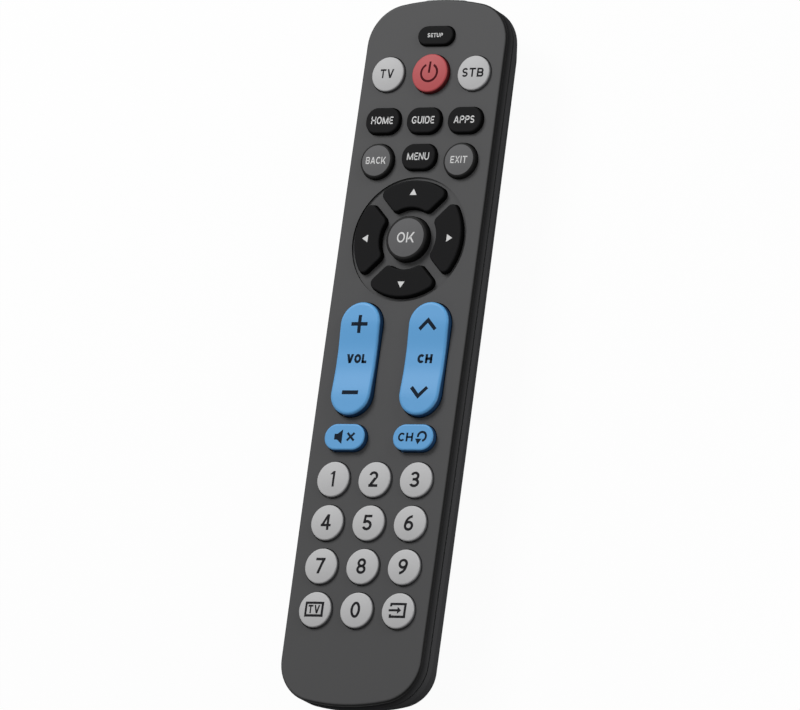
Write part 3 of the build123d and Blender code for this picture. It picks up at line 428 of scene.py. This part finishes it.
def sign(letter, thick):
    """Width and outlines of a capital or a digit, one unit high, with strokes of one width. All
    measures are shares of its height. A sloping stroke is a little wider, measured level."""
    slant = 1.12 * thick
    half = (0.5 + thick / 2) / 2
    stem = block(0, 0, thick, 1)
    forms = {
        "A": (
            0.96,
            [
                slope(0, 0.48 - slant / 2, slant),
                slope(0.96 - slant, 0.48 - slant / 2, slant),
                block(0.2, 0.22, 0.76, 0.22 + thick),
            ],
        ),
        "B": (
            0.8,
            [
                stem,
                *bowl(0.77, 0.5 - thick / 2, 1, thick),
                *bowl(0.8, 0, 0.5 + thick / 2, thick),
            ],
        ),
        "C": (0.84, ring((0.45, 0.5), (0.45, 0.5), thick, 42, 318)),
        "D": (0.84, [stem, *bowl(0.84, 0, 1, thick)]),
        "E": (
            0.68,
            [
                stem,
                block(0, 0, 0.68, thick),
                block(0, 0.5 - thick / 2, 0.62, 0.5 + thick / 2),
                block(0, 1 - thick, 0.68, 1),
            ],
        ),
        "G": (
            0.88,
            [
                *ring((0.46, 0.5), (0.46, 0.5), thick, 40, 325),
                block(0.48, 0.5 - thick, 0.88, 0.5),
                block(0.88 - thick, 0.17, 0.88, 0.5),
            ],
        ),
        "H": (
            0.86,
            [stem, block(0.86 - thick, 0, 0.86, 1), block(0, 0.5 - thick / 2, 0.86, 0.5 + thick / 2)],
        ),
        "I": (thick, [stem]),
        "K": (
            0.86,
            [
                stem,
                slope(0.14, 0.84 - slant, 1.15 * slant, 0.3, 1),
                slope(0.86 - slant, 0.3, 1.15 * slant, 0, 0.6),
            ],
        ),
        "L": (0.66, [stem, block(0, 0, 0.66, thick)]),
        "M": (
            1.12,
            [
                stem,
                block(1.12 - thick, 0, 1.12, 1),
                slope(0.56 - slant / 2, 0, slant),
                slope(0.56 - slant / 2, 1.12 - slant, slant),
            ],
        ),
        "N": (0.88, [stem, block(0.88 - thick, 0, 0.88, 1), slope(0.88 - slant, 0, slant)]),
        "O": (0.9, ring((0.45, 0.5), (0.45, 0.5), thick)),
        "P": (0.8, [stem, *bowl(0.8, 0.4, 1, thick)]),
        "S": (
            0.76,
            [
                *ring((0.38, 1 - half), (0.365, half), thick, 25, 270),
                *ring((0.38, half), (0.38, half), thick, -155, 90),
            ],
        ),
        "T": (0.82, [block(0, 1 - thick, 0.82, 1), block(0.41 - thick / 2, 0, 0.41 + thick / 2, 1)]),
        "U": (
            0.82,
            [
                block(0, 0.36, thick, 1),
                block(0.82 - thick, 0.36, 0.82, 1),
                *ring((0.41, 0.36), (0.41, 0.36), thick, 180, 360),
            ],
        ),
        "V": (0.92, [slope(0.46 - slant / 2, 0, slant), slope(0.46 - slant / 2, 0.92 - slant, slant)]),
        "X": (0.86, [slope(0, 0.86 - slant, slant), slope(0.86 - slant, 0, slant)]),
        "0": (0.66, ring((0.33, 0.5), (0.33, 0.5), thick)),
        "1": (0.4, [block(0.4 - thick, 0, 0.4, 1), slope(0, 0.4 - slant, slant, 0.78, 0.98)]),
        "2": (
            0.66,
            [
                *ring((0.32, 0.7), (0.32, 0.3), thick, -28, 168),
                slope(0.02, 0.58 - slant, 1.25 * slant, thick / 2, 0.6),
                block(0.02, 0, 0.66, thick),
            ],
        ),
        "3": (
            0.64,
            [
                *ring((0.3, 1 - half), (0.31, half), thick, -90, 158),
                *ring((0.3, half), (0.34, half), thick, -158, 90),
                block(0.17, 0.5 - thick / 2, 0.32, 0.5 + thick / 2),
            ],
        ),
        "4": (
            0.74,
            [
                block(0.6 - thick, 0, 0.6, 1),
                block(0, 0.23, 0.74, 0.23 + thick * 0.9),
                slope(0, 0.6 - slant, slant, 0.26, 1),
            ],
        ),
        "5": (
            0.64,
            [
                block(0.07, 1 - thick, 0.6, 1),
                slope(0.03, 0.07, thick, 0.45, 1),
                *ring((0.3, 0.33), (0.34, 0.33), thick, -155, 138),
            ],
        ),
        "6": (
            0.66,
            [
                *ring((0.33, 0.32), (0.33, 0.32), thick),
                *ring((0.56, 0.32), (0.56, 0.68), thick, 92, 182),
            ],
        ),
        "7": (
            0.66,
            [block(0, 1 - thick, 0.66, 1), slope(0.13, 0.66 - slant, slant, 0, 1 - thick / 2)],
        ),
        "8": (
            0.66,
            [
                *ring((0.33, 1 - half), (0.3, half), thick),
                *ring((0.33, half), (0.33, half), thick),
            ],
        ),
        "9": (
            0.66,
            [
                *ring((0.33, 0.68), (0.33, 0.32), thick),
                *ring((0.1, 0.68), (0.56, 0.68), thick, -88, 2),
            ],
        ),
    }
    return forms[letter]


def lettering(word, size, thick, gap=0.17, middle=(0.0, 0.0)):
    """The outlines of a word, stretched to a width and height in mm about a middle; the stroke
    and the gap between letters are shares of the height."""
    outlines = []
    pen = 0.0
    for letter in word:
        width, forms = sign(letter, thick)
        outlines += [form + np.array([pen, 0.0]) for form in forms]
        pen += width + gap
    whole = pen - gap
    scale = np.array([size[0] / whole, size[1]])
    return [(form - np.array([whole / 2, 0.5])) * scale + np.array(middle) for form in outlines]


white_ink = ink("ink_white", (0.7, 0.7, 0.7))
for body, word, size, stroke, crown in (
    ("key_setup", "SETUP", (4.6, 1.15), 0.19, 0),
    ("key_home", "HOME", (6.6, 2.05), 0.16, 0),
    ("key_guide", "GUIDE", (6.8, 2.05), 0.16, 0),
    ("key_apps", "APPS", (6.2, 2.05), 0.16, 0),
    ("key_menu", "MENU", (6.6, 2.05), 0.15, 0),
    ("key_back", "BACK", (6.0, 1.95), 0.16, 0.25),
    ("key_exit", "EXIT", (5.0, 1.95), 0.16, 0.25),
    ("key_ok", "OK", (5.2, 2.85), 0.15, 0.3),
):
    printed(body + "_legend", lettering(word, size, stroke), white_ink, body, crown)


# Words on the light keys: the two sources and the ten digits, in near-black ink on domed tops.
# The 1 is narrow, the 0 the tallest.
black_ink = ink("ink_black", (0.018, 0.018, 0.02))
light_crown = 0.45
for body, word, size in (("key_tv", "TV", (4.1, 2.5)), ("key_stb", "STB", (6.5, 2.5))):
    printed(body + "_legend", lettering(word, size, 0.2), black_ink, body, light_crown)
for digit in range(10):
    body = f"key_{digit}"
    size = ({0: 2.9, 1: 1.5, 4: 3.0}.get(digit, 2.8), 4.4 if digit == 0 else 4.25)
    printed(body + "_legend", lettering(str(digit), size, 0.17), black_ink, body, light_crown)


# Triangles on the four cursor keys: white ink, each pointing outwards, all as far from the middle
# of the dish. The OK key stands in that middle.
triangle_reach = 12.75
triangle_tip = 0.9
triangle_back = 0.8
triangle_half = 1.05
for body, turn in (("key_up", 90), ("key_left", 180), ("key_down", 270), ("key_right", 0)):
    out = np.array([math.cos(math.radians(turn)), math.sin(math.radians(turn))])
    side = np.array([-out[1], out[0]]) * triangle_half
    middle = middle_of("key_ok") + out * triangle_reach - middle_of(body)
    back = middle - out * triangle_back
    outline = np.array([middle + out * triangle_tip, back + side, back - side])
    printed(body + "_legend", [outline], white_ink, body)


# Power symbol: a ring, open at the top, and a bar through the opening, in dark maroon ink.
def bar(start, end, width):
    """The outline of a straight stroke with square ends, half its width to each side."""
    start = np.array(start, float)
    end = np.array(end, float)
    along = (end - start) / np.linalg.norm(end - start)
    side = np.array([-along[1], along[0]]) * width / 2
    return np.array([start - side, end - side, end + side, start + side])


def bow(centre, radius, width, start, end):
    """The outline of an arc stroke between two angles in degrees: out along the circle of the
    radius plus half the width and back along that of the radius less it."""
    turn = np.radians(np.linspace(start, end, 48))
    round_way = np.column_stack([np.cos(turn), np.sin(turn)])
    outer = round_way * (radius + width / 2)
    inner = round_way[::-1] * (radius - width / 2)
    return np.vstack([outer, inner]) + np.array(centre)


sign_stroke = 0.62
power = [bow((0, 0), 2.4, sign_stroke, 118, 422), bar((0, -0.1), (0, 3.1), sign_stroke)]
printed("key_power_legend", power, ink("ink_maroon", (0.06, 0.006, 0.009)), "key_power", 0.35)


# Volume rocker: plus, the word and minus, in the dark navy ink of all blue keys. The plus is three
# strokes that meet without lying over one another.
navy_ink = ink("ink_navy", (0.009, 0.016, 0.028))
sign_rise = 9.4
sign_arm = 2.45
plus_stroke = 1.0
minus_stroke = 1.1
plus_edge = plus_stroke / 2
volume = [
    bar((-sign_arm, sign_rise), (sign_arm, sign_rise), plus_stroke),
    bar((0, sign_rise + plus_edge), (0, sign_rise + sign_arm), plus_stroke),
    bar((0, sign_rise - sign_arm), (0, sign_rise - plus_edge), plus_stroke),
    bar((-sign_arm, -sign_rise), (sign_arm, -sign_rise), minus_stroke),
]
printed("key_volume_signs", volume, navy_ink, "key_volume")
word = lettering("VOL", (6.1, 2.5), 0.29, 0.1, (0.3, 0))
printed("key_volume_word", word, navy_ink, "key_volume")


# Channel rocker: a chevron up, the word and a chevron down, in navy ink.
def chevron(y, rise, half, width):
    """The outline of a chevron about a height y: its tip and feet are half the rise away, and its
    lower edge follows at the stroke's width. A negative rise points it down."""
    tip = y + rise / 2
    foot = y - rise / 2
    drop = math.copysign(width * 1.3, rise)
    heel = (half - width * 0.65, foot - drop * 0.45)
    return np.array(
        [(-half, foot), (-heel[0], heel[1]), (0, tip - drop), heel, (half, foot), (0, tip)]
    )


chevron_y = sign_rise + 0.3
channel = [chevron(chevron_y, 2.9, 2.75, 1.15), chevron(-chevron_y, -2.9, 2.75, 1.15)]
printed("key_channel_signs", channel, navy_ink, "key_channel")
word = lettering("CH", (4.5, 2.5), 0.29, 0.1, (0.25, 0))
printed("key_channel_word", word, navy_ink, "key_channel")


# Mute key: a loudspeaker and a cross, in navy ink. The cross is one long stroke and two short
# ones beside it.
mute = [
    block(-3.0, -0.8, -2.05, 0.8),
    np.array([(-2.1, -0.8), (-0.6, -2.0), (-0.6, 2.0), (-2.1, 0.8)]),
    bar((0.9, -1.05), (3.0, 1.05), sign_stroke),
    bar((0.9, 1.05), (1.73, 0.22), sign_stroke),
    bar((2.17, -0.22), (3.0, -1.05), sign_stroke),
]
printed("key_mute_legend", mute, navy_ink, "key_mute")


# Channel recall key: the word and an arrow that turns back, in navy ink. The arrow is a bow and a
# triangle at its lower left end.
word = lettering("CH", (4.5, 2.4), 0.22, 0.14, (-2.15, 0))
printed("key_recall_word", word, navy_ink, "key_channel_recall")
recall = [
    bow((2.75, 0.2), 1.2, sign_stroke, -80, 190),
    np.array([(0.8, -0.4), (2.75, -0.45), (1.7, -2.0)]),
]
printed("key_recall_arrow", recall, navy_ink, "key_channel_recall")


# Screen key: the letters TV in a square frame, in near-black ink.
def frame_box(x, width, height, stroke, gap=None):
    """The outlines of a square frame with its middle at (x, 0): four strokes that meet without
    lying over one another. A gap leaves the left side open that far to both sides of zero."""
    left = x - width / 2 + stroke / 2
    right = x + width / 2 - stroke / 2
    high = height / 2
    parts = [
        bar((left - stroke / 2, high - stroke / 2), (right + stroke / 2, high - stroke / 2), stroke),
        bar((left - stroke / 2, stroke / 2 - high), (right + stroke / 2, stroke / 2 - high), stroke),
        bar((right, stroke - high), (right, high - stroke), stroke),
    ]
    if gap is None:
        parts.append(bar((left, stroke - high), (left, high - stroke), stroke))
    else:
        parts.append(bar((left, stroke - high), (left, -gap), stroke))
        parts.append(bar((left, gap), (left, high - stroke), stroke))
    return parts


frame_height = 4.1
frame_stroke = 0.66
screen = frame_box(0, 5.6, frame_height, frame_stroke)
printed("key_screen_frame", screen, black_ink, "key_tv_input", light_crown)
word = lettering("TV", (3.5, 2.3), 0.22)
printed("key_screen_word", word, black_ink, "key_tv_input", light_crown)


# Input key: an arrow that goes into a frame through its open side, in near-black ink.
arrow_start = -2.5
arrow_neck = 0.15
arrow_tip = 1.3
arrow_half = 0.95
arrow = frame_box(0.2, 4.9, frame_height, frame_stroke, gap=1.05)
arrow.append(bar((arrow_start, 0), (arrow_neck, 0), sign_stroke))
arrow.append(np.array([(arrow_neck, -arrow_half), (arrow_tip, 0), (arrow_neck, arrow_half)]))
printed("key_input_legend", arrow, black_ink, "key_input", light_crown)


# Key mat and board: a grey silicone mat that gives the keys their spring, over a board with a green
# solder mask and printed carbon pads. They are seen when the case is opened.
dress(finish_of("mat_silicone", (0.32, 0.32, 0.33), 0.6, 0.3 * MM, 0.01 * MM), "keypad_mat")
dress(finish_of("board_mask", (0.02, 0.13, 0.05), 0.35, 0.4 * MM, 0.006 * MM), "circuit_board")
dress(finish_of("carbon_print", (0.012, 0.012, 0.012), 0.7, 0.2 * MM, 0.006 * MM), "contact_pads")


# Parts on the board: clear lamps, black epoxy chips, tan ceramic capacitors, a blue resonator and
# a bright aluminium can, each soldered down.
dress(finish_of("epoxy_clear", (0.62, 0.65, 0.7), 0.1, 1.0 * MM, 0.0), "ir_leds", "power_lamp")
dress(
    finish_of("epoxy_black", (0.015, 0.015, 0.016), 0.5, 0.2 * MM, 0.008 * MM),
    "controller_chip",
    "transistor",
    "chip_resistors",
)
dress(finish_of("ceramic_tan", (0.33, 0.22, 0.12), 0.5, 0.2 * MM, 0.004 * MM), "chip_capacitors")
dress(finish_of("coating_blue", (0.04, 0.12, 0.34), 0.25, 0.6 * MM, 0.004 * MM), "ceramic_resonator")
dress(finish_of("can_bright", (0.7, 0.7, 0.7), 0.3, 0.3 * MM, 0.002 * MM, metallic=1.0), "capacitor")


# Battery contacts, springs and screws: nickel-plated steel, bent, wound or turned. The contacts and
# springs stand at the two ends of the battery bay.
dress(
    finish_of("nickel_plate", (0.66, 0.64, 0.6), 0.28, 0.3 * MM, 0.003 * MM, metallic=1.0),
    "positive_contact",
    "negative_contact",
    "bridge_contact",
    "battery_springs",
    "board_screws",
)


# Cells: two AAA cells in printed sleeves, dark with a copper band at the plus end, with bare metal
# at both ends. The left one has its plus end towards the signal end, the right one the other way.
copper_band = 13.0
for name, plus_side in (("battery_left", 1), ("battery_right", 0)):
    plus_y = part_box(name)[plus_side][1]
    cell = finish_of(name + "_sleeve", (0.05, 0.055, 0.07), 0.3, 0.6 * MM, 0.002 * MM, metallic=0.6)
    tree = cell.node_tree
    place = tree.nodes.new("ShaderNodeTexCoord")
    along = tree.nodes.new("ShaderNodeSeparateXYZ")
    facing = tree.nodes.new("ShaderNodeSeparateXYZ")
    tree.links.new(place.outputs["Object"], along.inputs["Vector"])
    tree.links.new(place.outputs["Normal"], facing.inputs["Vector"])
    near_plus = reckoned(tree, "COMPARE", along.outputs["Y"], plus_y, copper_band * MM)
    sleeve = blended(tree, near_plus, (0.03, 0.034, 0.045, 1.0), (0.62, 0.3, 0.12, 1.0))
    endwise = reckoned(tree, "ABSOLUTE", facing.outputs["Y"])
    bare = reckoned(tree, "GREATER_THAN", endwise, 0.8)
    tint(cell, blended(tree, bare, sleeve, (0.6, 0.58, 0.55, 1.0)))
    dress(cell, name)


# Floor: a pale plane that the camera and reflections see almost white, with a trace of the shadow,
# and that the camera sees through from below. It returns little light to the sides, as a table far
# below would, but enough to the back that rests on it.
def layered(tree, share, first, second):
    """The output of a Mix Shader: first where the share is 0, second where it is 1."""
    node = tree.nodes.new("ShaderNodeMixShader")
    for socket, value in zip(node.inputs, (share, first, second)):
        tree.links.new(value, socket)
    return node.outputs["Shader"]


def seen_by(tree, path):
    """1 for rays of the camera, reflections and transmission, 0 for the others."""
    mirrored = reckoned(tree, "MAXIMUM", path["Is Glossy Ray"], path["Is Transmission Ray"])
    return reckoned(tree, "MAXIMUM", path["Is Camera Ray"], mirrored)


white_share = 0.96
near_length = 0.4
near_return = 0.7
far_return = 0.1
bpy.ops.mesh.primitive_plane_add(size=6.0, location=(0, 0, -0.0002))
floor = bpy.context.object
floor.name = "floor"
floor_finish = bpy.data.materials.new("floor_pale")
floor_finish.use_nodes = True
floor_tree = floor_finish.node_tree
floor_surface = floor_tree.nodes["Principled BSDF"]
floor_surface.inputs["Base Color"].default_value = (0.8, 0.8, 0.8, 1.0)
floor_surface.inputs["Roughness"].default_value = 0.9
floor_surface.inputs["Specular IOR Level"].default_value = 0.0
floor_glow = floor_tree.nodes.new("ShaderNodeEmission")
floor_glow.inputs["Strength"].default_value = 1.0
floor_dim = floor_tree.nodes.new("ShaderNodeEmission")
floor_clear = floor_tree.nodes.new("ShaderNodeBsdfTransparent")
floor_side = floor_tree.nodes.new("ShaderNodeNewGeometry")
path = floor_tree.nodes.new("ShaderNodeLightPath").outputs
white = reckoned(floor_tree, "MULTIPLY", seen_by(floor_tree, path), white_share)
near = reckoned(floor_tree, "LESS_THAN", path["Ray Length"], near_length * MM)
returned = reckoned(floor_tree, "MULTIPLY_ADD", near, near_return, far_return)
from_below = reckoned(floor_tree, "MULTIPLY", floor_side.outputs["Backfacing"], path["Is Camera Ray"])
floor_tree.links.new(returned, floor_dim.inputs["Strength"])
shown = layered(floor_tree, white, floor_surface.outputs["BSDF"], floor_glow.outputs["Emission"])
shown = layered(floor_tree, path["Is Diffuse Ray"], shown, floor_dim.outputs["Emission"])
shown = layered(floor_tree, from_below, shown, floor_clear.outputs["BSDF"])
floor_tree.links.new(shown, floor_tree.nodes["Material Output"].inputs["Surface"])
floor.data.materials.append(floor_finish)


# World: an even sky round the stage, white to the camera and in reflections, and a softer grey for
# the light that it gives.
world = bpy.data.worlds.new("studio")
scene.world = world
world.use_nodes = True
world_tree = world.node_tree
world_light = world_tree.nodes["Background"]
world_light.inputs["Color"].default_value = (1.0, 1.0, 1.0, 1.0)
world_light.inputs["Strength"].default_value = 0.27
world_seen = world_tree.nodes.new("ShaderNodeBackground")
world_seen.inputs["Color"].default_value = (1.0, 1.0, 1.0, 1.0)
world_seen.inputs["Strength"].default_value = 1.0
path = world_tree.nodes.new("ShaderNodeLightPath").outputs
shown = layered(
    world_tree,
    seen_by(world_tree, path),
    world_light.outputs["Background"],
    world_seen.outputs["Background"],
)
world_tree.links.new(shown, world_tree.nodes["World Output"].inputs["Surface"])


# Lamps: a key lamp over the signal end, from the left; a weak fill from the right; a small one low
# beside the battery end, which lights the side wall there.
def lamp(name, place, aim, size, power):
    """A square soft lamp that points from its place at a target; metres and watts. Its axes are
    the way back from the target, a level one across it and their cross product."""
    data = bpy.data.lights.new(name, "AREA")
    data.size = size
    data.energy = power
    holder = bpy.data.objects.new(name, data)
    scene.collection.objects.link(holder)
    back = np.array(place) - np.array(aim)
    z = back / np.linalg.norm(back)
    x = np.cross((0.0, 1.0, 0.0), z)
    x /= np.linalg.norm(x)
    turn = Matrix((x, np.cross(z, x), z)).transposed().to_4x4()
    holder.matrix_world = Matrix.Translation(place) @ turn


lamp("key_lamp", (-0.3, 0.4, 0.5), (0.0, 0.05, 0.0), 0.3, 3.6)
lamp("fill_lamp", (0.5, 0.35, 0.2), (0.0, 0.0, 0.0), 0.3, 0.8)
lamp("side_lamp", (0.2, -0.07, 0.02), (0.02, -0.07, 0.01), 0.03, 0.08)


# Camera: fitted to the outline and the keys of the photograph, 2.5 m away with a long lens.
camera_place = (1.22383, -0.594427, 2.11605)
camera_turn = Matrix(
    ((0.8723, -0.0002, 0.489), (0.1332, 0.9623, -0.2371), (-0.4706, 0.2719, 0.8394))
)
camera_data = bpy.data.cameras.new("photo_camera")
camera_data.lens = 425.8
camera_data.sensor_width = 36.0
camera = bpy.data.objects.new("photo_camera", camera_data)
scene.collection.objects.link(camera)
camera.matrix_world = Matrix.Translation(camera_place) @ camera_turn.to_4x4()
scene.camera = camera

scene.view_settings.view_transform = "Standard"
